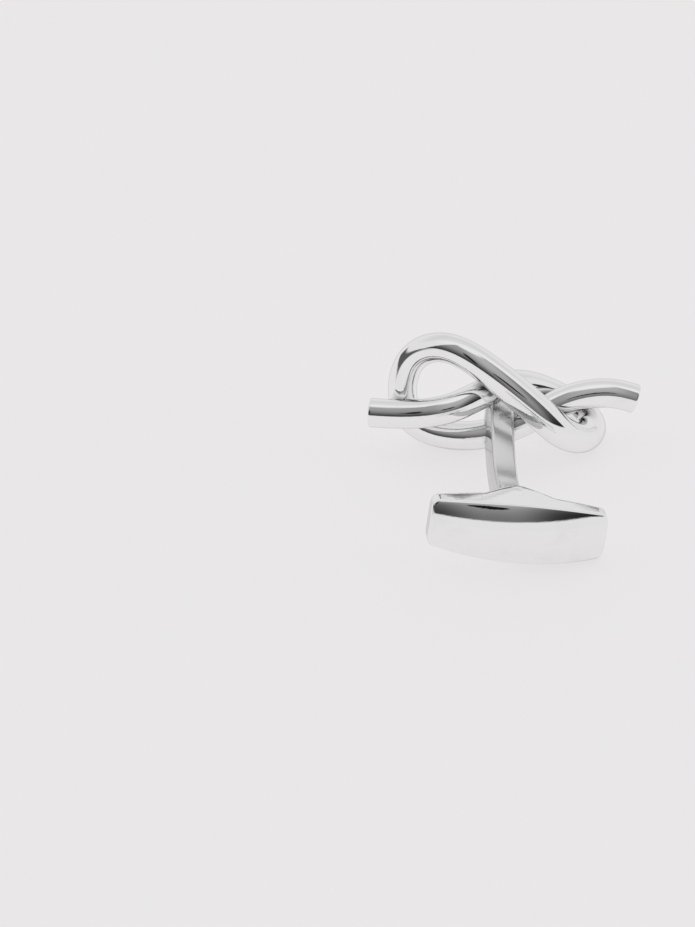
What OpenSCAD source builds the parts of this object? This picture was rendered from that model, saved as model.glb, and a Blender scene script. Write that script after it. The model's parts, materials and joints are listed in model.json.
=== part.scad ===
// Knot cufflink in silver. A round wire is tied in a loose overhand knot, a
// curved post is soldered behind it, and a bar swivels about a riveted pin
// at the end of the post, held in line or across by a leaf spring.
// Millimetres. The part lies the way it rests on a table.
// Before it is laid down, X runs along the bar, Y from the bar to the knot
// and Z along the pin, with the pin's middle at zero.

/* [Knot] */
// Thickness of the wire
wire_d = 2.94; // [2.2:0.02:3]
// Width of the knot, measured on the wire's centre line
knot_w = 26.3; // [24:0.1:32]
// Depth of the knot, measured on the wire's centre line
knot_d = 6.7; // [6.5:0.1:9]
// Height of the knot, measured on the wire's centre line
knot_h = 9.2; // [8.8:0.1:12]
// Distance from the pin to the nearest point of the wire's centre line
knot_reach = 12.6; // [11:0.1:18]
// Height of the wire's lowest centre line over the pin's middle
knot_lift = 1.1; // [0:0.1:3]
// How far the wire's left end lies left of the pin
knot_left = 12.65; // [11:0.05:16]
// Thickness of the solder where the post sits against the wire
solder_bite = 0.03; // [0:0.01:0.1]

/* [Post] */
// Width of the post across the bar's swing
post_w = 2.35; // [1.8:0.05:2.4]
// Height of the post at the pin
post_h = 2.8; // [2.2:0.1:3.4]
// Length of the post that stays straight beyond the pin
post_straight = 2; // [1:0.1:3]
// Sideways lean of the post at the knot
post_lean = 0.3; // [0:0.05:0.3]
// How far the rounded corners of the post's end stand past its flats
cam_lift = 0.15; // [0.05:0.01:0.18]

/* [Bar] */
// Length of the bar
bar_l = 17.3; // [14:0.1:20]
// Height of the bar at its ends
bar_end_h = 4.6; // [4:0.1:5]
// Height of the bar at its middle
bar_mid_h = 6.1; // [5.6:0.1:7]
// Thickness of the bar at its ends
bar_end_t = 1.6; // [1.4:0.05:2.4]
// Rise of the bar's outer face from the ends to the middle
bar_bulge = 1.6; // [1:0.1:2.4]
// Rise of the bar's outer face from its long edges to its centre line
bar_crown = 0.4; // [0.2:0.05:0.8]
// Radius of the bar's four corners
bar_corner_r = 0.8; // [0.3:0.05:1]
// Distance from the pin to the bar's inner face
pin_drop = 1.4; // [1.25:0.05:1.6]
// Length of the ears where they rise from the bar
ear_l = 7; // [5:0.1:9]
// Radius of the ears round the pin
ear_r = 0.75; // [0.7:0.01:0.9]

/* [Pin and spring] */
// Thickness of the pin
pin_d = 0.9; // [0.7:0.05:0.95]
// Width of the riveted heads of the pin
head_d = 1.2; // [1.1:0.05:1.35]
// Height of the riveted heads
head_h = 0.12; // [0.08:0.01:0.3]
// Thickness of the leaf spring
leaf_t = 0.25; // [0.2:0.01:0.35]
// Width of the leaf spring
leaf_w = 2; // [1.5:0.05:2.2]
// Length of the leaf spring
leaf_l = 7.4; // [6.6:0.1:8]
// Rise of the bowed leaf spring from its ends to its middle
leaf_bow = 0.7; // [0.6:0.01:0.8]
// Length of the window that shows the leaf spring
window_l = 5.2; // [4:0.1:5.4]

/* [Fits] */
// Running fit of the pin in the post, on the radius
pin_fit = 0.05; // [0.02:0.01:0.08]
// Space between the post's sides and the ears
ear_gap = 0.1; // [0.05:0.01:0.2]
// Space round the leaf spring in its pocket
leaf_gap = 0.03; // [0.02:0.01:0.05]

/* [Lie] */
// Fore and aft tilt of the part as it rests
lie_pitch = -12.77; // [-20:0.01:20]
// Sideways tilt of the part as it rests
lie_roll = 9.71; // [-20:0.01:20]
// Pin's middle to the right of the part's own centre
pin_x = -0.81; // [-3:0.01:3]
// Pin's middle in front of the part's own centre
pin_y = -8.39; // [-12:0.01:-4]
// Height of the pin's middle over the table
pin_z = 3.362; // [1:0.001:6]

/* [Hidden] */

// Control points of the wire's centre line, as shares of the knot's width,
// depth and height. The line starts at the first point, at the left end,
// and stops at the last one, at the right end.
knot_path_shares = [
    [0.00, 0.60, 0.19],
    [0.17, 0.40, 0.26],
    [0.33, 0.25, 0.44],
    [0.51, 0.79, 0.69],
    [0.72, 1.01, 0.50],
    [0.89, 0.71, 0.28],
    [0.82, 0.19, 0.18],
    [0.70, -0.05, 0.34],
    [0.61, 0.01, 0.56],
    [0.39, 0.30, 0.95],
    [0.24, 0.69, 1.07],
    [0.11, 1.09, 0.73],
    [0.13, 0.88, -0.02],
    [0.40, 0.51, -0.02],
    [0.60, 0.47, 0.28],
    [0.73, 0.48, 0.60],
    [0.89, 0.44, 0.74],
    [1.00, 0.40, 0.68]
];
// The wire is thickest where it crosses in front: how much, where along the
// wire and over what length, all as shares
swell_share = 0.12;
swell_at_share = 0.455;
swell_width_share = 0.1;
// Stretches of the wire in which the upper and the lower strand pass over
// the post
upper_stretch_shares = [0.1, 0.25];
lower_stretch_shares = [0.72, 0.86];
// Handles of the post's upper and lower outlines, as shares of the way
// from the end of its straight length to the strand that it meets
post_top_shares = [[0.47, -0.13], [0.62, 0.45]];
post_low_shares = [[0.45, -0.06], [0.75, 0.12]];

wire_sides = 20;
span_rings = 8;
outline_steps = 16;
cylinder_sides = 96;
barrel_sides = 360;
overrun = 1;
halvings = 14;

knot_corner = [-knot_left, knot_reach, knot_lift];
knot_size = [knot_w, knot_d, knot_h];
spans = len(knot_path_shares) - 1;
rings = spans * span_rings;

cam_r = post_w / 2 + cam_lift;
ear_in_h = post_h / 2 + ear_gap;
leaf_top = pin_drop;
leaf_r = (leaf_l * leaf_l / 4 + leaf_bow * leaf_bow) / (2 * leaf_bow);
leaf_edge_drop = leaf_r - sqrt(leaf_r * leaf_r - window_l * window_l / 4);
pocket_floor = leaf_top + leaf_bow + leaf_t + leaf_gap;
bar_half_l = bar_l / 2;
bulge_r = (bar_half_l * bar_half_l + bar_bulge * bar_bulge) / (2 * bar_bulge);
crown_r = (bar_end_h * bar_end_h / 4 + bar_crown * bar_crown) / (2 * bar_crown);
bar_sag = (bar_mid_h - bar_end_h) / 2;
edge_r = (bar_half_l * bar_half_l + bar_sag * bar_sag) / (2 * bar_sag);
bar_outer = pin_drop + bar_end_t + bar_bulge + bar_crown;

// Control point i of the centre line; one more past each end makes the line
// start and stop at its outer control points
function knot_point(i) =
    i < 0 ? 2 * knot_point(0) - knot_point(1)
    : i > spans ? 2 * knot_point(spans) - knot_point(spans - 1)
    : [for (k = [0:2]) knot_corner[k] + knot_path_shares[i][k] * knot_size[k]];

// Point of the centre line, where share runs from 0 to 1 along the wire
function wire_point(share) =
    let (
        i = min(floor(share * spans), spans - 1),
        t = share * spans - i,
        before = knot_point(i - 1),
        here = knot_point(i),
        next = knot_point(i + 1),
        after = knot_point(i + 2)
    )
    (pow(1 - t, 3) * before
    + (3 * t * t * t - 6 * t * t + 4) * here
    + (1 + 3 * t + 3 * t * t - 3 * t * t * t) * next
    + t * t * t * after) / 6;

function unit(v) = v / norm(v);
function ring_share(i) = i / rings;

// Direction of the wire, from the points just before and after
function wire_way(share) =
    unit(wire_point(min(share + ring_share(1) / 4, 1))
    - wire_point(max(share - ring_share(1) / 4, 0)));

function wire_r(share) =
    wire_d / 2 * (1 + swell_share * exp(-pow((share - swell_at_share) / swell_width_share, 2)));

// Where along the wire it passes over the post, which leans to the side by
// post_lean at the knot; the stretch is halved until the place is found
function share_over_post(stretch, steps) =
    let (middle = (stretch[0] + stretch[1]) / 2)
    steps == 0 ? middle
    : wire_point(middle)[0] < post_lean
        ? share_over_post([middle, stretch[1]], steps - 1)
        : share_over_post([stretch[0], middle], steps - 1);

upper_joint_share = share_over_post(upper_stretch_shares, halvings);
lower_joint_share = share_over_post(lower_stretch_shares, halvings);

// The part of v that is square to the direction way
function square_to(v, way) = unit(v - (v * way) * way);

centres = [for (i = [0:rings]) wire_point(ring_share(i))];
ways = [for (i = [0:rings]) wire_way(ring_share(i))];
// Each ring's reference direction is carried on from the ring before, so
// that the skin of the wire doesn't twist
sides_up = [
    for (i = 0, up = square_to([0, 0, 1], ways[0]);
        i <= rings;
        i = i + 1, up = i <= rings ? square_to(up, ways[i]) : up)
    up
];

knot_skin = [
    for (i = [0:rings])
    let (across = cross(ways[i], sides_up[i]), r = wire_r(ring_share(i)))
    for (k = [0:wire_sides - 1])
    let (a = 360 * k / wire_sides)
    centres[i] + r * (cos(a) * sides_up[i] + sin(a) * across)
];
knot_faces = concat(
    [[for (k = [0:wire_sides - 1]) k]],
    [for (i = [0:rings - 1], k = [0:wire_sides - 1])
        let (a = i * wire_sides + k, b = i * wire_sides + (k + 1) % wire_sides)
        [b, a, a + wire_sides]],
    [for (i = [0:rings - 1], k = [0:wire_sides - 1])
        let (a = i * wire_sides + k, b = i * wire_sides + (k + 1) % wire_sides)
        [b, a + wire_sides, b + wire_sides]],
    [[for (k = [wire_sides - 1:-1:0]) rings * wire_sides + k]]
);

// Least gap between strands that are more than a bend apart
bend_rings = 2 * span_rings;
echo(least_gap_in_knot = min([
    for (i = [0:rings - bend_rings], j = [i + bend_rings:rings])
    norm(centres[i] - centres[j]) - wire_r(ring_share(i)) - wire_r(ring_share(j))
]));

// Tips the part onto the table and centres it
module lay() {
    translate([pin_x, pin_y, pin_z])
        rotate([lie_pitch, lie_roll, 0])
            children();
}

module knot() {
    color("silver")
        lay()
            polyhedron(points = knot_skin, faces = knot_faces, convexity = 12);
}

// Points of one long edge of the post, from its straight length to the
// centre of the strand at the given share of the wire
function post_edge(side, joint_share, handle_shares) =
    let (
        from = [post_straight, side * post_h / 2],
        joint = wire_point(joint_share),
        to = [joint[1], joint[2]],
        h1 = [for (k = [0:1]) from[k] + handle_shares[0][k] * (to[k] - from[k])],
        h2 = [for (k = [0:1]) from[k] + handle_shares[1][k] * (to[k] - from[k])]
    )
    [for (i = [0:outline_steps])
        let (t = i / outline_steps)
        pow(1 - t, 3) * from + 3 * t * pow(1 - t, 2) * h1
        + 3 * t * t * (1 - t) * h2 + t * t * t * to];

function reversed(list) = [for (i = [len(list) - 1:-1:0]) list[i]];

// Side of the post, with its length along the first axis
module post_side() {
    polygon(concat(
        [[-cam_r, post_h / 2]],
        post_edge(1, upper_joint_share, post_top_shares),
        reversed(post_edge(-1, lower_joint_share, post_low_shares)),
        [[-cam_r, -post_h / 2]]
    ));
}

// Post seen along the pin: flats on three sides of the pin, whose corners
// are rounded to cam_r, and the blade that leans a little to one side
module post_plan() {
    knot_y = knot_reach + knot_d + overrun;
    intersection() {
        circle(r = cam_r, $fn = cylinder_sides);
        square(post_w, center = true);
    }
    polygon([
        [-post_w / 2, 0],
        [post_w / 2, 0],
        [post_w / 2 + post_lean, knot_y],
        [-post_w / 2 + post_lean, knot_y]
    ]);
}

// Round cut that lets the post sit against the strand at the given share
module saddle(joint_share) {
    at = wire_point(joint_share);
    way = wire_way(joint_share);
    translate(at)
        rotate([0, acos(way[2]), atan2(way[1], way[0])])
            cylinder(h = 4 * post_w, r = wire_r(joint_share) - solder_bite,
                center = true, $fn = cylinder_sides);
}

module post() {
    color("gainsboro")
        lay()
            difference() {
                intersection() {
                    rotate([90, 0, 90])
                        linear_extrude(height = 2 * (post_w + post_lean), center = true)
                            post_side();
                    linear_extrude(height = 2 * (knot_h + post_h), center = true)
                        post_plan();
                }
                cylinder(h = post_h + 2 * overrun, r = pin_d / 2 + pin_fit,
                    center = true, $fn = cylinder_sides);
                saddle(upper_joint_share);
                saddle(lower_joint_share);
            }
}

// Height of the bar's long edge over its centre line, at x from the middle
function bar_edge(x) = bar_mid_h / 2 - edge_r + sqrt(edge_r * edge_r - x * x);

// Face of the bar: bowed long edges, straight ends and rounded corners
module bar_face() {
    corner_x = bar_half_l - bar_corner_r;
    corner_y = bar_edge(corner_x) - bar_corner_r;
    intersection() {
        translate([0, bar_mid_h / 2 - edge_r])
            circle(r = edge_r, $fn = barrel_sides);
        translate([0, edge_r - bar_mid_h / 2])
            circle(r = edge_r, $fn = barrel_sides);
        union() {
            square([2 * corner_x, bar_mid_h], center = true);
            square([bar_l, 2 * corner_y], center = true);
            for (x = [-corner_x, corner_x], y = [-corner_y, corner_y])
                translate([x, y])
                    circle(r = bar_corner_r, $fn = cylinder_sides);
        }
    }
}

// Body of revolution whose rim is the bar's outer face
module bar_barrel() {
    rim = bulge_r + bar_crown;
    translate([0, rim - bar_outer, 0])
        rotate_extrude($fn = barrel_sides)
            intersection() {
                translate([rim - crown_r, 0])
                    circle(r = crown_r, $fn = barrel_sides);
                translate([0, -bar_mid_h])
                    square([rim + overrun, 2 * bar_mid_h]);
            }
}

// Bar and ears seen along the pin; the flanks run straight to the ears' tips
module bar_plan() {
    flank = atan2(pin_drop, ear_l / 2) + asin(ear_r / norm([ear_l / 2, pin_drop]));
    polygon(concat(
        [[-bar_half_l, -bar_outer - overrun]],
        [[bar_half_l, -bar_outer - overrun]],
        [[bar_half_l, -pin_drop]],
        [[ear_l / 2, -pin_drop]],
        [for (i = [0:outline_steps])
            let (a = flank * (1 - 2 * i / outline_steps))
            ear_r * [sin(a), cos(a)]],
        [[-ear_l / 2, -pin_drop]],
        [[-bar_half_l, -pin_drop]]
    ));
}

// Pocket of the leaf spring, closed over its ends and open in the middle
module leaf_pocket() {
    pocket_l = leaf_l + 2 * leaf_gap;
    pocket_w = leaf_w + 2 * leaf_gap;
    lid = leaf_edge_drop - leaf_gap;
    translate([-pocket_l / 2, -pocket_floor, -pocket_w / 2])
        cube([pocket_l, pocket_floor - pin_drop - lid, pocket_w]);
    translate([-window_l / 2, -pocket_floor, -pocket_w / 2])
        cube([window_l, pocket_floor - pin_drop + overrun, pocket_w]);
}

module bar() {
    color("silver")
        lay()
            difference() {
                intersection() {
                    linear_extrude(height = bar_mid_h, center = true)
                        bar_plan();
                    rotate([90, 0, 0])
                        linear_extrude(height = 2 * (bar_outer + ear_r), center = true)
                            bar_face();
                    bar_barrel();
                }
                translate([-bar_l / 2 - overrun, -pin_drop, -ear_in_h])
                    cube([bar_l + 2 * overrun, pin_drop + ear_r + overrun, 2 * ear_in_h]);
                leaf_pocket();
                cylinder(h = bar_mid_h + 2 * overrun, d = pin_d,
                    center = true, $fn = cylinder_sides);
            }
}

// Pin with a low domed head riveted over each ear
module hinge_pin() {
    dome_r = (head_d * head_d / 4 + head_h * head_h) / (2 * head_h);
    color("gainsboro")
        lay() {
            cylinder(h = bar_mid_h, d = pin_d, center = true, $fn = cylinder_sides);
            for (side = [0, 1])
                mirror([0, 0, side])
                    translate([0, 0, bar_mid_h / 2])
                        rotate_extrude($fn = cylinder_sides)
                            intersection() {
                                square([head_d / 2, head_h]);
                                translate([0, head_h - dome_r])
                                    circle(r = dome_r, $fn = 2 * barrel_sides);
                            }
        }
}

// Bowed strip under the post's end, drawn at the height that the passing
// corners of the post press it to
module leaf_spring() {
    color("lightsteelblue")
        lay()
            intersection() {
                translate([0, -leaf_top - leaf_r, 0])
                    difference() {
                        cylinder(h = leaf_w, r = leaf_r, center = true, $fn = barrel_sides);
                        cylinder(h = leaf_w + 2 * overrun, r = leaf_r - leaf_t,
                            center = true, $fn = barrel_sides);
                    }
                translate([-leaf_l / 2, -leaf_top - leaf_bow - leaf_t, -leaf_w / 2])
                    cube([leaf_l, leaf_bow + leaf_t, leaf_w]);
            }
}

knot();
post();
bar();
hinge_pin();
leaf_spring();
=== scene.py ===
"""Knot cufflink in polished silver, lying on a pale table.

Sizes are in millimetres and are turned to metres where a mesh is made. The
pieces are drawn in the frame of the pin: X runs along the bar, Y from the bar
to the knot, Z along the pin, with the middle of the pin at zero. lay() sets a
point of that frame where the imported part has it.
"""

import json
import math

import bpy
import bmesh
import numpy as np
from mathutils import Matrix, Vector


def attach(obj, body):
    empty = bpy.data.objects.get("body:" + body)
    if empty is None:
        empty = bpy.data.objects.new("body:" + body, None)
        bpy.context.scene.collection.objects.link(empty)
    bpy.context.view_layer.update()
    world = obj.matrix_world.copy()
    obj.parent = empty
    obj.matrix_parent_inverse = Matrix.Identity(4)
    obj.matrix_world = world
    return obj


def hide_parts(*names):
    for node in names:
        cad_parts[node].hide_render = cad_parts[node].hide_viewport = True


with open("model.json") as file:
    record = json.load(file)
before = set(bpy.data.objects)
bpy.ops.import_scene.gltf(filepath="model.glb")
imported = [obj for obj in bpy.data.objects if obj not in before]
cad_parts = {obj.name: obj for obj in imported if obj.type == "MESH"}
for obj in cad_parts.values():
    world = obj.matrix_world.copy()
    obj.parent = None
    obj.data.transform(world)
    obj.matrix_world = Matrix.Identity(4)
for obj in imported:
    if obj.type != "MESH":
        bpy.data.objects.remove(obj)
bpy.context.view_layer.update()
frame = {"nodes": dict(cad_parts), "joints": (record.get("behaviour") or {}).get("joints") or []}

MM = 0.001
# Points that lie closer together than this, in metres, are merged
MERGE_DIST = 5e-7
# Edges that turn by more than this, in degrees, are shown sharp
SHARP_ROUND = 50
SHARP_FLAT = 40
SHARP_TOOL = 30

# Knot
WIRE_D = 2.94
KNOT_SIZE = (26.3, 6.7, 9.2)
KNOT_LEFT = 12.65
KNOT_REACH = 12.6
KNOT_LIFT = 1.1
KNOT_PATH_SHARES = [
    (0.00, 0.60, 0.19), (0.17, 0.40, 0.26), (0.33, 0.25, 0.44),
    (0.51, 0.79, 0.69), (0.72, 1.01, 0.50), (0.89, 0.71, 0.28),
    (0.82, 0.19, 0.18), (0.70, -0.05, 0.34), (0.61, 0.01, 0.56),
    (0.39, 0.30, 0.95), (0.24, 0.69, 1.07), (0.11, 1.09, 0.73),
    (0.13, 0.88, -0.02), (0.40, 0.51, -0.02), (0.60, 0.47, 0.28),
    (0.73, 0.48, 0.60), (0.89, 0.44, 0.74), (1.00, 0.40, 0.68),
]
SWELL_SHARE = 0.12
SWELL_AT_SHARE = 0.455
SWELL_WIDTH_SHARE = 0.1
WIRE_SIDES = 64
WIRE_STEP = 0.13
WIRE_END_ROUND = 0.16
WIRE_SAMPLES = 6001

# Post
POST_W = 2.35
POST_H = 2.8
POST_STRAIGHT = 2.0
POST_LEAN = 0.3
CAM_R = POST_W / 2 + 0.15
POST_TOP_SHARES = ((0.47, -0.13), (0.62, 0.45))
POST_LOW_SHARES = ((0.45, -0.06), (0.75, 0.12))
UPPER_STRETCH_SHARES = (0.1, 0.25)
LOWER_STRETCH_SHARES = (0.72, 0.86)
POST_EDGE_ROUND = 0.32
CAM_EDGE_ROUND = 0.12
SOLDER_FLARE = 0.22
SOLDER_REACH = 0.55
POST_STEPS = 90
END_STEP = 0.06
STRAIGHT_STEP = 0.2
CORNER_STEPS = 8
CORNER_SHARE = 0.95
ROUND_SIDES = 96

# Bar
BAR_L = 17.3
BAR_END_H = 4.6
BAR_MID_H = 6.1
BAR_END_T = 1.6
BAR_BULGE = 1.6
BAR_CROWN = 0.4
BAR_CORNER_R = 0.8
BAR_EDGE_ROUND = 0.3
PIN_DROP = 1.4
EAR_L = 7.0
EAR_R = 0.75
EAR_IN_H = POST_H / 2 + 0.1
EAR_EDGE_ROUND = 0.12
EAR_TOP_LEAST = 0.05
SLOT_EDGE_ROUND = 0.1
SLOT_ROOT_ROUND = 0.06
LOW_EAR_ROUND_SHARE = 0.4
ROUND_STEPS = 6
BAR_OUTER = PIN_DROP + BAR_END_T + BAR_BULGE + BAR_CROWN
# Radii of the bowed and crowned face and of the long edges
BULGE_R = ((BAR_L / 2) ** 2 + BAR_BULGE ** 2) / (2 * BAR_BULGE)
CROWN_R = ((BAR_END_H / 2) ** 2 + BAR_CROWN ** 2) / (2 * BAR_CROWN)
BAR_SAG = (BAR_MID_H - BAR_END_H) / 2
EDGE_R = ((BAR_L / 2) ** 2 + BAR_SAG ** 2) / (2 * BAR_SAG)
# Slope of the ears' flanks
FLANK = math.atan2(PIN_DROP, EAR_L / 2) + math.asin(EAR_R / math.hypot(EAR_L / 2, PIN_DROP))
# Steps across the face, and points added along each side of the bar's section
FACE_POINTS = 24
SIDE_POINTS = (0, 7, 5, 2, 11, 2, 5, 7)
# Steps along the bar: round its corners, along its sides and over the ears' tips
EDGE_STEP = 0.05
SIDE_STEP = 0.14
TIP_POINTS = 22

# Pin and spring
PIN_D = 0.9
PIN_FIT = 0.05
HEAD_D = 1.2
HEAD_H = 0.12
HEAD_GAP = 0.015
HEAD_RIM = 0.02
HEAD_STEPS = 17
PIN_END_R = 0.01
LEAF_T = 0.25
LEAF_W = 2.0
LEAF_L = 7.4
LEAF_BOW = 0.7
LEAF_GAP = 0.03
WINDOW_L = 5.2
POCKET_FLOOR = PIN_DROP + LEAF_BOW + LEAF_T + LEAF_GAP

# Camera, in the part's frame
CAMERA_AT = (-36.523, -317.482, 236.896)
CAMERA_RIGHT = (0.99732, -0.07222, -0.01183)
CAMERA_UP = (0.05213, 0.58748, 0.80756)
CAMERA_BACK = (-0.05137, -0.80601, 0.58968)
LENS = 155.755
LONG_SIDE_SENSOR = 36.0

# Finishes; each metal has a clean and a worn tone
SILVER = (0.93, 0.93, 0.93)
SILVER_WORN = (0.90, 0.90, 0.895)
PIN_SILVER = (0.89, 0.89, 0.89)
PIN_WORN = (0.83, 0.83, 0.825)
FROSTED = (0.99, 0.99, 0.99)
FROSTED_WORN = (0.97, 0.97, 0.97)
# Painted shade on the post's two sides
FROSTED_SIDE_SHADE = (0.68, 0.68, 0.68)
STEEL = (0.68, 0.69, 0.71)
STEEL_WORN = (0.50, 0.51, 0.54)
# Metal share of the frosted post's look; the rest scatters like a matt skin
FROST_METAL = 0.65
# Painted shade, laid darker into the crevices by ambient occlusion: its reach in metres,
# and how open a crevice is where it starts and where it is full
CREVICE_SHADE = (0.42, 0.42, 0.43)
CREVICE_SHADE_REACH = 0.0013
CREVICE_SHADE_OPEN = (0.80, 0.25)
# Painted shade on the polished silver: its colour is dimmed where it turns away from the eye,
# drawing dark rims at its outlines
RIM_SHADE_TONE = (0.60, 0.60, 0.60)
RIM_SHADE_TURN = (0.60, 0.86)

# Table: its paint, its own even tone and what shows past its far edge; half its
# width is in metres
TABLE_SEEN = (0.823, 0.807, 0.815)
TABLE_PAINT = (0.86, 0.843, 0.852)
TABLE_TONE = (0.905, 0.888, 0.896)
TABLE_TONE_SHARE = 0.78
TABLE_HALF = 4.0

# The tent's cloth is lighter overhead and slightly dimmer high at the back
WALL_LIGHT = 0.79
TOP_LIGHT = 0.86
TOP_RISE = (0.6, 0.97)
BACK_DIM = 0.15
BACK_FACING = (-0.1, -0.4)
BACK_RISE = (0.35, 0.75)

# The opening on the near side and the dim room seen through it; pairs are the
# ends of soft steps, in shares of a direction's length
ROOM_SPREAD = 1.9
ROOM_SHIFT = 0.12
ROOM_BLUR = 0.06
ROOM_TOP = (0.988, 0.945)
ROOM_FOOT = (0.19, 0.24)
EDGE_SLANT = 0.03
ROOM_LOW = 0.05
ROOM_HIGH = 0.33
ROOM_RISE = (0.25, 0.95)
ROOM_MIDDLE = 0.12
MIDDLE_ASIDE = 0.12
MIDDLE_SPREAD = (0.5, 0.1)
ROOM_RIGHT_DIM = 0.6
RIGHT_ASIDE = (0.30, 0.75)

# The dark gap low down on the left
LEFT_GAP_LIGHT = 0.10
LEFT_GAP_ASIDE = (-0.70, -0.80)
LEFT_GAP_NEAR = (0.52, 0.36)
LEFT_GAP_FAR = (-0.60, -0.50)
LEFT_GAP_TOP = (0.24, 0.16)
LEFT_GAP_FOOT = (0.0, 0.03)

# Dark oval gaps: centre and half size, along the camera's right and up
GAP_LIGHT = 0.01
GAP_BLUR = (1.12, 0.88)
GAP_FRONT = (0.0, 0.1)
WIDE_GAP = ((0.070, 0.000), (0.165, 0.068))
SMALL_GAP = ((-0.400, 0.080), (0.064, 0.200))


def pin_frame():
    """The frame of the pin, in metres, from the swivel's axis and place."""
    joint = frame["joints"][0]
    z = Vector(joint["axis"]).normalized()
    x = Vector((z.z, 0.0, -z.x)).normalized()
    y = z.cross(x)
    turn = Matrix((x, y, z)).transposed().to_4x4()
    return Matrix.Translation(Vector(joint["pos_m"])) @ turn @ Matrix.Scale(MM, 4)


PIN_FRAME = pin_frame()


def lay(point):
    """A point of the pin's frame, in millimetres, where the part has it."""
    return PIN_FRAME @ Vector(point)


class Wire:
    """A socket that stands in expressions; each operator adds its Math node."""

    def __init__(self, graph, socket):
        self.graph = graph
        self.socket = socket

    def maths(self, operation, first, second):
        return self.graph.add("ShaderNodeMath", {"operation": operation}, {0: first, 1: second})

    def __add__(self, other):
        return self.maths("ADD", self, other)

    __radd__ = __add__

    def __sub__(self, other):
        return self.maths("SUBTRACT", self, other)

    def __rsub__(self, other):
        return self.maths("SUBTRACT", other, self)

    def __mul__(self, other):
        return self.maths("MULTIPLY", self, other)

    __rmul__ = __mul__

    def __truediv__(self, other):
        return self.maths("DIVIDE", self, other)

    def __abs__(self):
        return self.maths("ABSOLUTE", self, 0.0)


class Graph:
    """The node tree of one finish, or of the world."""

    def __init__(self, tree):
        self.tree = tree
        tree.nodes.clear()

    def node(self, kind, settings=None, sockets=None):
        made = self.tree.nodes.new(kind)
        for name, value in (settings or {}).items():
            setattr(made, name, value)
        for key, value in (sockets or {}).items():
            if isinstance(value, Wire):
                self.tree.links.new(value.socket, made.inputs[key])
            else:
                made.inputs[key].default_value = value
        return made

    def add(self, kind, settings=None, sockets=None, out=0):
        return Wire(self, self.node(kind, settings, sockets).outputs[out])

    def ramp(self, value, low, high, start=0.0, stop=1.0):
        """Runs smoothly from start to stop as value goes from low to high."""
        return self.add(
            "ShaderNodeMapRange", {"interpolation_type": "SMOOTHSTEP"},
            {"Value": value, "From Min": low, "From Max": high, "To Min": start, "To Max": stop})

    def tint(self, factor, first, second):
        """Colour between two colours."""
        return self.add(
            "ShaderNodeMix", {"data_type": "RGBA"},
            {0: factor, 6: first, 7: second}, out=2)

    def towards(self, way, axis):
        """How far each direction points along an axis."""
        return self.add("ShaderNodeVectorMath", {"operation": "DOT_PRODUCT"},
                        {0: way, 1: tuple(axis)}, out=1)


def rgba(colour):
    """The colour as a socket takes it, with nothing see-through."""
    return (*colour, 1.0)


def finish_mesh(mesh, sharp_deg):
    """Merges doubles, points faces outwards and marks the sharp edges."""
    shell = bmesh.new()
    shell.from_mesh(mesh)
    bmesh.ops.remove_doubles(shell, verts=shell.verts, dist=MERGE_DIST)
    bmesh.ops.dissolve_degenerate(shell, edges=shell.edges, dist=MERGE_DIST)
    bmesh.ops.recalc_face_normals(shell, faces=shell.faces)
    if shell.calc_volume(signed=True) < 0:
        bmesh.ops.reverse_faces(shell, faces=shell.faces)
    for face in shell.faces:
        face.smooth = True
    shell.to_mesh(mesh)
    shell.free()
    mesh.set_sharp_from_angle(angle=math.radians(sharp_deg))


def loft(name, rings):
    """Closed skin through rings that all have the same number of points."""
    count = len(rings[0])
    points = [lay(p) for ring in rings for p in ring]
    faces = [tuple(range(count)), tuple((len(rings) - 1) * count + k for k in range(count))]
    for i in range(len(rings) - 1):
        for k in range(count):
            a = i * count + k
            b = i * count + (k + 1) % count
            faces.append((a, b, b + count, a + count))
    mesh = bpy.data.meshes.new(name)
    mesh.from_pydata(points, [], faces)
    return mesh


def place(name, mesh):
    """A new object with the mesh, in the scene."""
    piece = bpy.data.objects.new(name, mesh)
    bpy.context.scene.collection.objects.link(piece)
    return piece


def baked(piece):
    """The piece with its modifiers worked into its mesh."""
    graph = bpy.context.evaluated_depsgraph_get()
    mesh = bpy.data.meshes.new_from_object(piece.evaluated_get(graph))
    piece.modifiers.clear()
    piece.data = mesh
    mesh.name = piece.name
    return piece


def cut(piece, tools):
    """Takes the tools' shapes out of the piece, in the order given."""
    for tool in tools:
        step = piece.modifiers.new("cut", "BOOLEAN")
        step.operation = "DIFFERENCE"
        step.solver = "EXACT"
        step.object = tool
    bpy.context.view_layer.update()
    baked(piece)
    for tool in tools:
        bpy.data.objects.remove(tool)


def weigh_normals(piece):
    """Lets the large faces set the shading, so that flats stay flat."""
    step = piece.modifiers.new("flats", "WEIGHTED_NORMAL")
    step.mode = "FACE_AREA"
    step.weight = 100
    step.keep_sharp = True
    bpy.context.view_layer.update()
    baked(piece)


def turned(name, profile, sides):
    """Body of revolution about the pin, from (radius, z) points."""
    turns = [math.tau * i / sides for i in range(sides)]
    return loft(name, [
        [(radius * math.cos(turn), radius * math.sin(turn), z) for turn in turns]
        for radius, z in profile])


def quarter(radius, steps):
    """(distance from the end, inset) points of a quarter-round edge."""
    points = []
    for i in range(steps + 1):
        a = math.pi / 2 * i / steps
        points.append((radius * (1 - math.cos(a)), radius * (1 - math.sin(a))))
    return points


def knot_point(i):
    """Control point i; one more past each end makes the line end on the outer ones."""
    last = len(KNOT_PATH_SHARES) - 1
    if i < 0:
        return 2 * knot_point(0) - knot_point(1)
    if i > last:
        return 2 * knot_point(last) - knot_point(last - 1)
    corner = np.array((-KNOT_LEFT, KNOT_REACH, KNOT_LIFT))
    return corner + np.array(KNOT_PATH_SHARES[i]) * np.array(KNOT_SIZE)


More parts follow.
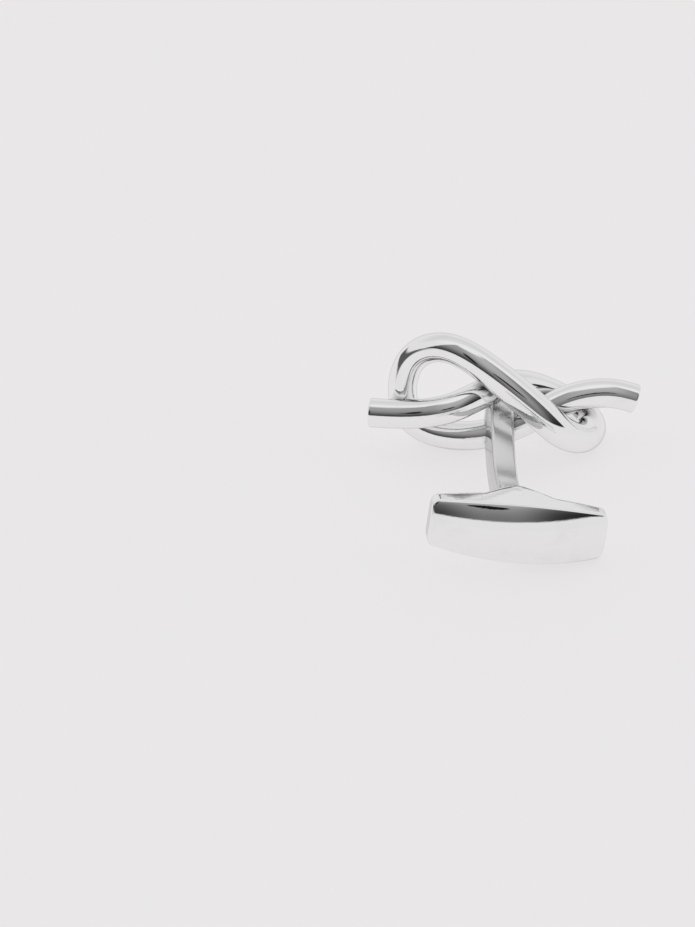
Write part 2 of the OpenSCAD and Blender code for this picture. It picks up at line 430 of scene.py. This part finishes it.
def wire_point(share):
    """Point of the wire's centre line, where share runs from 0 to 1."""
    spans = len(KNOT_PATH_SHARES) - 1
    i = min(int(share * spans), spans - 1)
    t = share * spans - i
    return (
        (1 - t) ** 3 * knot_point(i - 1)
        + (3 * t ** 3 - 6 * t ** 2 + 4) * knot_point(i)
        + (1 + 3 * t + 3 * t ** 2 - 3 * t ** 3) * knot_point(i + 1)
        + t ** 3 * knot_point(i + 2)) / 6


def wire_radius(share):
    """Radius of the wire, swollen a little where it crosses in front."""
    swell = math.exp(-((share - SWELL_AT_SHARE) / SWELL_WIDTH_SHARE) ** 2)
    return WIRE_D / 2 * (1 + SWELL_SHARE * swell)


def share_over_post(stretch):
    """Where the wire passes over the post, found by halving the stretch."""
    low, high = stretch
    halvings = 14
    for _ in range(halvings):
        middle = (low + high) / 2
        if wire_point(middle)[0] < POST_LEAN:
            low = middle
        else:
            high = middle
    return (low + high) / 2


def wire_line():
    """Points and radii along the wire, closer together at the rounded ends."""
    shares = np.linspace(0, 1, WIRE_SAMPLES)
    points = np.array([wire_point(s) for s in shares])
    lengths = np.concatenate(([0], np.cumsum(np.linalg.norm(np.diff(points, axis=0), axis=1))))
    total = lengths[-1]
    ends = quarter(WIRE_END_ROUND, 6)
    middle = np.linspace(WIRE_END_ROUND, total - WIRE_END_ROUND, int(total / WIRE_STEP))
    places = [d for d, inset in ends[:-1]] + list(middle) + [total - d for d, inset in ends[-2::-1]]
    insets = [inset for d, inset in ends[:-1]] + [0] * len(middle) + [i for d, i in ends[-2::-1]]
    at = np.interp(places, lengths, shares)
    line = [np.array([np.interp(p, lengths, points[:, k]) for k in range(3)]) for p in places]
    return line, [wire_radius(s) - inset for s, inset in zip(at, insets)]


def round_wire_tree():
    """Geometry Nodes: a round wire along a line of points with a thickness."""
    tree = bpy.data.node_groups.new("round_wire", "GeometryNodeTree")
    for name, kind in (("Line", "NodeSocketGeometry"), ("Sides", "NodeSocketInt"),
                       ("Thickness", "NodeSocketFloat"), ("Finish", "NodeSocketMaterial")):
        tree.interface.new_socket(name, in_out="INPUT", socket_type=kind)
    tree.interface.new_socket("Wire", in_out="OUTPUT", socket_type="NodeSocketGeometry")
    new = tree.nodes.new
    given = new("NodeGroupInput")
    curve = new("GeometryNodeMeshToCurve")
    ring = new("GeometryNodeCurvePrimitiveCircle")
    ring.inputs["Radius"].default_value = 1.0
    radius = new("GeometryNodeInputNamedAttribute")
    radius.data_type = "FLOAT"
    radius.inputs["Name"].default_value = "wire_radius"
    scale = new("ShaderNodeMath")
    scale.operation = "MULTIPLY"
    skin = new("GeometryNodeCurveToMesh")
    skin.inputs["Fill Caps"].default_value = True
    real = new("GeometryNodeRealizeInstances")
    finish = new("GeometryNodeSetMaterial")
    out = new("NodeGroupOutput")
    link = tree.links.new
    link(given.outputs["Line"], curve.inputs["Mesh"])
    link(given.outputs["Sides"], ring.inputs["Resolution"])
    link(radius.outputs["Attribute"], scale.inputs[0])
    link(given.outputs["Thickness"], scale.inputs[1])
    link(curve.outputs["Curve"], skin.inputs["Curve"])
    link(ring.outputs["Curve"], skin.inputs["Profile Curve"])
    link(scale.outputs[0], skin.inputs["Scale"])
    link(skin.outputs["Mesh"], real.inputs["Geometry"])
    link(real.outputs["Geometry"], finish.inputs["Geometry"])
    link(given.outputs["Finish"], finish.inputs["Material"])
    link(finish.outputs["Geometry"], out.inputs["Wire"])
    return tree


def make_knot(finish):
    """The knotted wire, with flat cut ends whose edges are rounded over."""
    line, radii = wire_line()
    mesh = bpy.data.meshes.new("knot_wire")
    mesh.from_pydata([lay(p) for p in line], [(i, i + 1) for i in range(len(line) - 1)], [])
    mesh.attributes.new("wire_radius", "FLOAT", "POINT").data.foreach_set("value", radii)
    piece = place("knot_wire", mesh)
    tree = round_wire_tree()
    step = piece.modifiers.new("wire", "NODES")
    step.node_group = tree
    given = {item.name: item.identifier for item in tree.interface.items_tree
             if item.in_out == "INPUT"}
    step[given["Sides"]] = WIRE_SIDES
    step[given["Thickness"]] = MM
    step[given["Finish"]] = finish
    baked(piece)
    finish_mesh(piece.data, SHARP_ROUND)
    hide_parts("knot")
    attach(piece, "front")
    return piece


def bezier(start, stop, shares, t):
    """Point of the post's edge; the shares place the two handles."""
    h1 = [start[k] + shares[0][k] * (stop[k] - start[k]) for k in range(2)]
    h2 = [start[k] + shares[1][k] * (stop[k] - start[k]) for k in range(2)]
    return [
        (1 - t) ** 3 * start[k] + 3 * t * (1 - t) ** 2 * h1[k]
        + 3 * t * t * (1 - t) * h2[k] + t ** 3 * stop[k] for k in range(2)]


def rounded_ring(low, top, middle_x, half_w, edge_round):
    """Rounded rectangle that stands between the (y, z) points low and top."""
    rise = Vector((top[0] - low[0], top[1] - low[1]))
    half_h = rise.length / 2
    up = rise.normalized()
    mid = Vector(((low[0] + top[0]) / 2, (low[1] + top[1]) / 2))
    r = min(edge_round, half_w * CORNER_SHARE, half_h * CORNER_SHARE)
    ring = []
    for side, level, first in ((1, 1, 0.0), (-1, 1, 90.0), (-1, -1, 180.0), (1, -1, 270.0)):
        for i in range(CORNER_STEPS + 1):
            a = math.radians(first + 90.0 * i / CORNER_STEPS)
            u = side * (half_w - r) + r * math.cos(a)
            v = level * (half_h - r) + r * math.sin(a)
            ring.append((middle_x + u, mid[0] + up[0] * v, mid[1] + up[1] * v))
    return ring


def post_rings():
    """Sections of the post, from its squared end at the pin to the knot."""
    upper = wire_point(share_over_post(UPPER_STRETCH_SHARES))
    lower = wire_point(share_over_post(LOWER_STRETCH_SHARES))
    knot_y = KNOT_REACH + KNOT_SIZE[1] + 1
    rings = []
    places = [(-POST_W / 2 + d, inset) for d, inset in quarter(CAM_EDGE_ROUND, 5)]
    y = places[-1][0]
    while y < POST_STRAIGHT:
        y += END_STEP if y < 0 else STRAIGHT_STEP
        places.append((min(y, POST_STRAIGHT), 0.0))
    for y, inset in places:
        half_w = min(POST_W / 2, math.sqrt(CAM_R ** 2 - min(y, 0) ** 2)) - inset
        half_h = POST_H / 2 - inset
        middle = POST_LEAN * max(y, 0) / knot_y
        blend = min(max(y / POST_STRAIGHT, 0), 1)
        edge = CAM_EDGE_ROUND + (POST_EDGE_ROUND - CAM_EDGE_ROUND) * blend
        rings.append(rounded_ring((y, -half_h), (y, half_h), middle, half_w, edge))
    for i in range(1, POST_STEPS + 1):
        t = i / POST_STEPS
        top = bezier((POST_STRAIGHT, POST_H / 2), upper[1:], POST_TOP_SHARES, t)
        low = bezier((POST_STRAIGHT, -POST_H / 2), lower[1:], POST_LOW_SHARES, t)
        middle = POST_LEAN * (top[0] + low[0]) / 2 / knot_y
        left = math.dist(top, upper[1:])
        flare = SOLDER_FLARE * math.exp(-max(left - WIRE_D / 2, 0) / SOLDER_REACH)
        rings.append(rounded_ring(low, top, middle, POST_W / 2 + flare, POST_EDGE_ROUND))
    return rings


def make_post(finish):
    """The curved post, with its solder running out onto the strands."""
    mesh = loft("post_blade", post_rings())
    finish_mesh(mesh, SHARP_ROUND)
    piece = place("post_blade", mesh)
    bore = PIN_D / 2 + PIN_FIT
    drill = place("drill", turned("drill", [(bore, -POST_H), (bore, POST_H)], ROUND_SIDES))
    finish_mesh(drill.data, SHARP_TOOL)
    cut(piece, [drill])
    finish_mesh(piece.data, SHARP_ROUND)
    weigh_normals(piece)
    piece.data.materials.clear()
    piece.data.materials.append(finish)
    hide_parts("post")
    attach(piece, "front")
    return piece


def bar_edge(x):
    """Height of the bar's long edge over its centre line."""
    corner_x = BAR_L / 2 - BAR_CORNER_R
    past = max(abs(x) - corner_x, 0)
    bowed = BAR_MID_H / 2 - EDGE_R + math.sqrt(EDGE_R ** 2 - min(abs(x), corner_x) ** 2)
    return bowed - BAR_CORNER_R + math.sqrt(max(BAR_CORNER_R ** 2 - past ** 2, 0))


def bar_face_y(x, z):
    """The bar's outer face, bowed along its length and crowned across it."""
    rim = BULGE_R + BAR_CROWN
    ring = rim - CROWN_R + math.sqrt(CROWN_R ** 2 - z ** 2)
    return rim - BAR_OUTER - math.sqrt(ring ** 2 - x ** 2)


def ear_y(x):
    """The edge that faces the knot: flat ends, straight flanks, round tips."""
    x = abs(x)
    tip_x = EAR_R * math.sin(FLANK)
    if x <= tip_x:
        return math.sqrt(EAR_R ** 2 - x ** 2)
    if x >= EAR_L / 2:
        return -PIN_DROP
    tip_y = EAR_R * math.cos(FLANK)
    return tip_y - (x - tip_x) * (tip_y + PIN_DROP) / (EAR_L / 2 - tip_x)


def fillet(corner, before, after, radius, steps):
    """Points of a rounded corner, in the plane of (z, y)."""
    c = Vector(corner)
    a = (Vector(before) - c).normalized()
    b = (Vector(after) - c).normalized()
    half = math.acos(max(-1.0, min(1.0, a.dot(b)))) / 2
    if radius < 1e-6 or half > math.radians(89):
        return [tuple(c)] * (steps + 1)
    reach = radius / math.tan(half)
    centre = c + (a + b).normalized() * (radius / math.sin(half))
    first = c + a * reach - centre
    last = c + b * reach - centre
    turn = first.angle_signed(last)
    points = []
    for i in range(steps + 1):
        angle = -turn * i / steps
        spun = Vector((
            first.x * math.cos(angle) - first.y * math.sin(angle),
            first.x * math.sin(angle) + first.y * math.cos(angle)))
        points.append(tuple(centre + spun))
    return points


def between(first, last, count):
    """Points evenly spaced between two points of the plane of (z, y)."""
    return [
        tuple(first[k] + (last[k] - first[k]) * i / (count + 1) for k in range(2))
        for i in range(1, count + 1)]


def bar_ring(x, inset):
    """Section of the bar at x, drawn in by inset near its ends."""
    h = bar_edge(x) - inset
    inner = -PIN_DROP - inset
    tip = max(ear_y(x), -PIN_DROP) - inset
    rise = tip - inner
    tip_round = BAR_EDGE_ROUND + (EAR_EDGE_ROUND - BAR_EDGE_ROUND) * min(rise, 1)
    ear_in = min(EAR_IN_H, h - tip_round - EAR_TOP_LEAST)
    inside_round = min(SLOT_EDGE_ROUND, LOW_EAR_ROUND_SHARE * rise)
    root_round = min(SLOT_ROOT_ROUND, LOW_EAR_ROUND_SHARE * rise)
    low = bar_face_y(x, h) + inset
    corners = [
        ((-h, low), BAR_EDGE_ROUND), ((h, low), BAR_EDGE_ROUND),
        ((h, tip), tip_round), ((ear_in, tip), inside_round),
        ((ear_in, inner), root_round), ((-ear_in, inner), root_round),
        ((-ear_in, tip), inside_round), ((-h, tip), tip_round)]
    count = len(corners)
    rounds = []
    for k in range(count):
        corner, radius = corners[k]
        before = corners[k - 1][0]
        after = corners[(k + 1) % count][0]
        if k == 0:
            after = (-h * 0.9, bar_face_y(x, h * 0.9) + inset)
        if k == 1:
            before = (h * 0.9, bar_face_y(x, h * 0.9) + inset)
        rounds.append(fillet(corner, before, after, radius, ROUND_STEPS))
    ring = list(rounds[0])
    start = ring[-1][0]
    for i in range(1, FACE_POINTS):
        z = start - 2 * start * i / FACE_POINTS
        ring.append((z, bar_face_y(x, z) + inset))
    for k in range(1, count):
        ring += rounds[k]
        ring += between(rounds[k][-1], rounds[(k + 1) % count][0], SIDE_POINTS[k])
    return [(x, y, z) for z, y in ring]


def bar_places():
    """(x, inset) along the bar, closer together at the ends and the ear tips."""
    half = BAR_L / 2
    ends = [(-half + d, inset) for d, inset in quarter(BAR_EDGE_ROUND, 7)]
    xs = list(np.arange(-half + BAR_EDGE_ROUND + EDGE_STEP, -half + BAR_CORNER_R, EDGE_STEP))
    xs += list(np.arange(-half + BAR_CORNER_R, -EAR_R - 0.001, SIDE_STEP))
    xs += list(np.linspace(-EAR_R, 0, TIP_POINTS))
    left = ends + [(x, 0.0) for x in xs]
    return left + [(-x, inset) for x, inset in left[-2::-1]]


def spring_pocket():
    """Cutter for the spring's pocket and the window over it, as one stepped shape."""
    leaf_r = (LEAF_L ** 2 / 4 + LEAF_BOW ** 2) / (2 * LEAF_BOW)
    edge_drop = leaf_r - math.sqrt(leaf_r ** 2 - WINDOW_L ** 2 / 4)
    lid = PIN_DROP + edge_drop - LEAF_GAP
    half_w = LEAF_W / 2 + LEAF_GAP
    half_l = LEAF_L / 2 + LEAF_GAP
    right = [(half_l, -POCKET_FLOOR), (half_l, -lid), (WINDOW_L / 2, -lid), (WINDOW_L / 2, 0)]
    outline = right + [(-x, y) for x, y in right[::-1]]
    cutter = place("pocket", loft("pocket", [
        [(x, y, z) for x, y in outline] for z in (-half_w, half_w)]))
    finish_mesh(cutter.data, SHARP_TOOL)
    return cutter


def make_bar(finish):
    """The swivel bar, with its ears and the spring's pocket."""
    mesh = loft("bar_body", [bar_ring(x, inset) for x, inset in bar_places()])
    finish_mesh(mesh, SHARP_FLAT)
    piece = place("bar_body", mesh)
    bore = PIN_D / 2
    drill = place("drill", turned("drill", [(bore, -BAR_MID_H), (bore, BAR_MID_H)], ROUND_SIDES))
    finish_mesh(drill.data, SHARP_TOOL)
    cut(piece, [spring_pocket(), drill])
    finish_mesh(piece.data, SHARP_FLAT)
    weigh_normals(piece)
    piece.data.materials.clear()
    piece.data.materials.append(finish)
    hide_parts("bar")
    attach(piece, "toggle")
    return piece


def make_pin(finish):
    """The pin, with a low domed head riveted over at each end."""
    top = BAR_MID_H / 2
    dome_r = ((HEAD_D / 2) ** 2 + HEAD_H ** 2) / (2 * HEAD_H)
    under = top + HEAD_GAP
    half = [(PIN_D / 2, 0.0), (PIN_D / 2, under), (HEAD_D / 2 - HEAD_RIM, under)]
    for i in range(1, HEAD_STEPS):
        radius = HEAD_D / 2 * math.cos(math.pi / 2 * i / HEAD_STEPS)
        half.append((radius, top + HEAD_H - dome_r + math.sqrt(dome_r ** 2 - radius ** 2)))
    profile = [(r, -z) for r, z in half[:0:-1]] + half
    profile = [(PIN_END_R, profile[0][1])] + profile + [(PIN_END_R, profile[-1][1])]
    mesh = turned("pin_rivet", profile, ROUND_SIDES)
    finish_mesh(mesh, SHARP_FLAT)
    piece = place("pin_rivet", mesh)
    piece.data.materials.append(finish)
    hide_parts("hinge_pin")
    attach(piece, "toggle")
    return piece


def crevice_shaded(graph, tone):
    """The tone, with painted shade laid darker into the crevices by ambient occlusion."""
    open_sky = graph.add("ShaderNodeAmbientOcclusion", {"samples": 12},
                         {"Distance": CREVICE_SHADE_REACH}, out=1)
    return graph.tint(graph.ramp(open_sky, *CREVICE_SHADE_OPEN), tone, rgba(CREVICE_SHADE))


def rim_shaded(graph, tone):
    """The tone, with painted shade dimming it where the metal turns away from the eye."""
    away = graph.add("ShaderNodeLayerWeight", None, {"Blend": 0.5}, out=1)
    return graph.tint(graph.ramp(away, *RIM_SHADE_TURN), tone, rgba(RIM_SHADE_TONE))


def metal(graph, tone, metallic, roughness, normal):
    """The surface of one finish."""
    surface = graph.add("ShaderNodeBsdfPrincipled", None, {
        "Base Color": tone, "Metallic": metallic, "Roughness": roughness, "Normal": normal})
    graph.node("ShaderNodeOutputMaterial", None, {"Surface": surface})


def polished(name, colour, worn_colour, rough, wave):
    """Polished metal: slow waves from the buff, fine hairlines, faint smears."""
    finish = bpy.data.materials.new(name)
    finish.use_nodes = True
    graph = Graph(finish.node_tree)
    here = graph.add("ShaderNodeTexCoord", out=3)
    slow = graph.add("ShaderNodeTexNoise", None,
                     {"Vector": here, "Scale": 260.0, "Detail": 1.0})
    smear = graph.add("ShaderNodeTexNoise", None,
                      {"Vector": here, "Scale": 420.0, "Detail": 5.0, "Distortion": 0.6})
    along = graph.add("ShaderNodeMapping", None,
                      {"Vector": here, "Rotation": (0.2, 0.5, 0.3), "Scale": (0.12, 1.0, 1.0)})
    hair = graph.add("ShaderNodeTexNoise", None,
                     {"Vector": along, "Scale": 9000.0, "Detail": 3.0})
    worn = graph.ramp(smear, 0.52, 0.75)
    tone = graph.tint(worn, rgba(colour), rgba(worn_colour))
    # Painted shade: darker in the crevices and at the rims that turn away from the eye
    tone = rim_shaded(graph, crevice_shaded(graph, tone))
    normal = graph.add("ShaderNodeBump", None, {
        "Height": slow * wave + hair * 0.06, "Strength": 1.0, "Distance": 0.00002})
    metal(graph, tone, 1.0, rough + worn * 0.04 + hair * 0.01, normal)
    return finish


def satin(name, colour, worn_colour, side_shade_colour):
    """Frosted silver, rubbed along the post, with painted shade darkening its two sides."""
    finish = bpy.data.materials.new(name)
    finish.use_nodes = True
    graph = Graph(finish.node_tree)
    here = graph.add("ShaderNodeTexCoord", out=3)
    outwards = graph.add("ShaderNodeTexCoord", out=1)
    side = abs(graph.towards(outwards, PIN_FRAME.col[0].xyz.normalized()))
    along = graph.add("ShaderNodeMapping", None,
                      {"Vector": here, "Rotation": (0.22, 0.0, 0.04), "Scale": (1.0, 0.05, 1.0)})
    streaks = graph.add("ShaderNodeTexNoise", None,
                        {"Vector": along, "Scale": 2600.0, "Detail": 4.0})
    smear = graph.add("ShaderNodeTexNoise", None,
                      {"Vector": here, "Scale": 380.0, "Detail": 2.0})
    tone = graph.tint(streaks * 0.5 + smear * 0.5, rgba(worn_colour), rgba(colour))
    # Painted shade: the faces that look along the pin are darkened
    tone = graph.tint(graph.ramp(side, 0.75, 0.95), tone, rgba(side_shade_colour))
    normal = graph.add("ShaderNodeBump", None,
                       {"Height": streaks, "Strength": 0.5, "Distance": 0.000004})
    metal(graph, tone, FROST_METAL, 0.13 + smear * 0.08, normal)
    return finish


def brushed_steel():
    """Rolled spring steel, brushed along the leaf."""
    finish = bpy.data.materials.new("rolled_spring_steel")
    finish.use_nodes = True
    graph = Graph(finish.node_tree)
    here = graph.add("ShaderNodeTexCoord", out=3)
    along = graph.add("ShaderNodeMapping", None, {"Vector": here, "Scale": (0.04, 1.0, 1.0)})
    lines = graph.add("ShaderNodeTexNoise", None,
                      {"Vector": along, "Scale": 14000.0, "Detail": 4.0})
    patch = graph.add("ShaderNodeTexNoise", None, {"Vector": here, "Scale": 700.0, "Detail": 3.0})
    tone = graph.tint(patch, rgba(STEEL_WORN), rgba(STEEL))
    normal = graph.add("ShaderNodeBump", None,
                       {"Height": lines, "Strength": 0.6, "Distance": 0.000004})
    metal(graph, tone, 1.0, 0.24 + lines * 0.16, normal)
    return finish


def seen_ray(graph):
    """1 for rays that show a thing, straight, mirrored or through glass."""
    path = graph.node("ShaderNodeLightPath")
    camera = Wire(graph, path.outputs["Is Camera Ray"])
    glossy = Wire(graph, path.outputs["Is Glossy Ray"])
    through = Wire(graph, path.outputs["Is Transmission Ray"])
    return camera + glossy + through


def make_table():
    """A pale sheet; part of what is seen of it is its own even tone."""
    mesh = bpy.data.meshes.new("table")
    half = TABLE_HALF
    corners = [(-half, -half, 0), (half, -half, 0), (half, half, 0), (-half, half, 0)]
    mesh.from_pydata(corners, [], [(0, 1, 2, 3)])
    table = place("table", mesh)
    finish = bpy.data.materials.new("pale_table")
    finish.use_nodes = True
    graph = Graph(finish.node_tree)
    paint = graph.add("ShaderNodeBsdfDiffuse", None, {"Color": rgba(TABLE_PAINT)})
    tone = graph.add("ShaderNodeEmission", None, {"Color": rgba(TABLE_TONE), "Strength": 1.0})
    surface = graph.add("ShaderNodeMixShader", None,
                        {0: seen_ray(graph) * TABLE_TONE_SHARE, 1: paint, 2: tone})
    graph.node("ShaderNodeOutputMaterial", None, {"Surface": surface})
    mesh.materials.append(finish)


def tent_light(graph, facing, rise):
    """Light of the white cloth."""
    tent = graph.ramp(rise, *TOP_RISE, WALL_LIGHT, TOP_LIGHT)
    return tent * (1 - graph.ramp(facing, *BACK_FACING) * graph.ramp(rise, *BACK_RISE) * BACK_DIM)


def room_opening(graph, facing, aside, rise):
    """1 where the tent stands open on the near side."""
    return (graph.ramp((facing + ROOM_SHIFT) * ROOM_SPREAD - abs(aside), -ROOM_BLUR, ROOM_BLUR)
            * graph.ramp(rise, *ROOM_TOP)
            * graph.ramp(rise - aside * EDGE_SLANT, *ROOM_FOOT))


def room_light(graph, aside, rise):
    """Light of the dim room: more upwards and in its middle, less to the right."""
    light = graph.ramp(rise, *ROOM_RISE, ROOM_LOW, ROOM_HIGH)
    light = light + graph.ramp(abs(aside - MIDDLE_ASIDE), *MIDDLE_SPREAD) * ROOM_MIDDLE
    return light * graph.ramp(aside, *RIGHT_ASIDE, 1.0, 1.0 - ROOM_RIGHT_DIM)


def left_gap(graph, facing, aside, rise):
    """1 inside the dark gap low down on the left."""
    return (graph.ramp(aside, *LEFT_GAP_ASIDE) * graph.ramp(facing, *LEFT_GAP_NEAR)
            * graph.ramp(facing, *LEFT_GAP_FAR)
            * graph.ramp(rise, *LEFT_GAP_TOP) * graph.ramp(rise, *LEFT_GAP_FOOT))


def oval_gap(graph, right, up, front, centre, half):
    """1 inside a dark oval gap on the camera's side."""
    across = (right - centre[0]) / half[0]
    along = (up - centre[1]) / half[1]
    inside = graph.ramp(across * across + along * along, *GAP_BLUR)
    return inside * graph.ramp(front, *GAP_FRONT)


def light_the_studio():
    """A white tent, open towards the room on the near side; it is the only light."""
    world = bpy.data.worlds.new("studio")
    bpy.context.scene.world = world
    world.use_nodes = True
    graph = Graph(world.node_tree)
    way = graph.add("ShaderNodeTexCoord", out=0)
    near = Vector((CAMERA_BACK[0], CAMERA_BACK[1], 0)).normalized()
    rise = graph.towards(way, (0, 0, 1))
    facing = graph.towards(way, near)
    aside = graph.towards(way, (-near.y, near.x, 0))
    room = room_opening(graph, facing, aside, rise)
    slit = left_gap(graph, facing, aside, rise)
    tent = tent_light(graph, facing, rise) * (1 - slit) + slit * LEFT_GAP_LIGHT
    eye = [graph.towards(way, axis) for axis in (CAMERA_RIGHT, CAMERA_UP, CAMERA_BACK)]
    dark = oval_gap(graph, *eye, *WIDE_GAP) + oval_gap(graph, *eye, *SMALL_GAP)
    cloth = tent * (1 - room) + room_light(graph, aside, rise) * room
    level = cloth * (1 - dark) + dark * GAP_LIGHT
    path = graph.node("ShaderNodeLightPath")
    camera_ray = Wire(graph, path.outputs["Is Camera Ray"])
    shone = graph.add("ShaderNodeBackground", None, {"Color": (1, 1, 1, 1), "Strength": level})
    shown = graph.add("ShaderNodeBackground", None,
                      {"Color": rgba(TABLE_SEEN), "Strength": 1.0})
    surface = graph.add("ShaderNodeMixShader", None, {0: camera_ray, 1: shone, 2: shown})
    graph.node("ShaderNodeOutputWorld", None, {"Surface": surface})


def make_camera():
    """The photograph's viewpoint and lens."""
    data = bpy.data.cameras.new("camera")
    data.lens = LENS
    data.sensor_width = LONG_SIDE_SENSOR
    data.clip_start = 0.01
    data.clip_end = 20.0
    camera = bpy.data.objects.new("camera", data)
    bpy.context.scene.collection.objects.link(camera)
    turn = Matrix((CAMERA_RIGHT, CAMERA_UP, CAMERA_BACK)).transposed().to_4x4()
    camera.matrix_world = Matrix.Translation(Vector(CAMERA_AT) * MM) @ turn
    bpy.context.scene.camera = camera


def main():
    make_camera()
    make_table()
    light_the_studio()
    silver = polished("polished_silver", SILVER, SILVER_WORN, 0.02, 0.16)
    make_knot(silver)
    make_post(satin("satin_silver", FROSTED, FROSTED_WORN, FROSTED_SIDE_SHADE))
    make_bar(silver)
    make_pin(polished("pin_silver", PIN_SILVER, PIN_WORN, 0.07, 0.15))
    leaf = frame["nodes"]["leaf_spring"]
    leaf.data.materials.clear()
    leaf.data.materials.append(brushed_steel())
    bpy.context.scene.view_settings.view_transform = "Standard"


main()
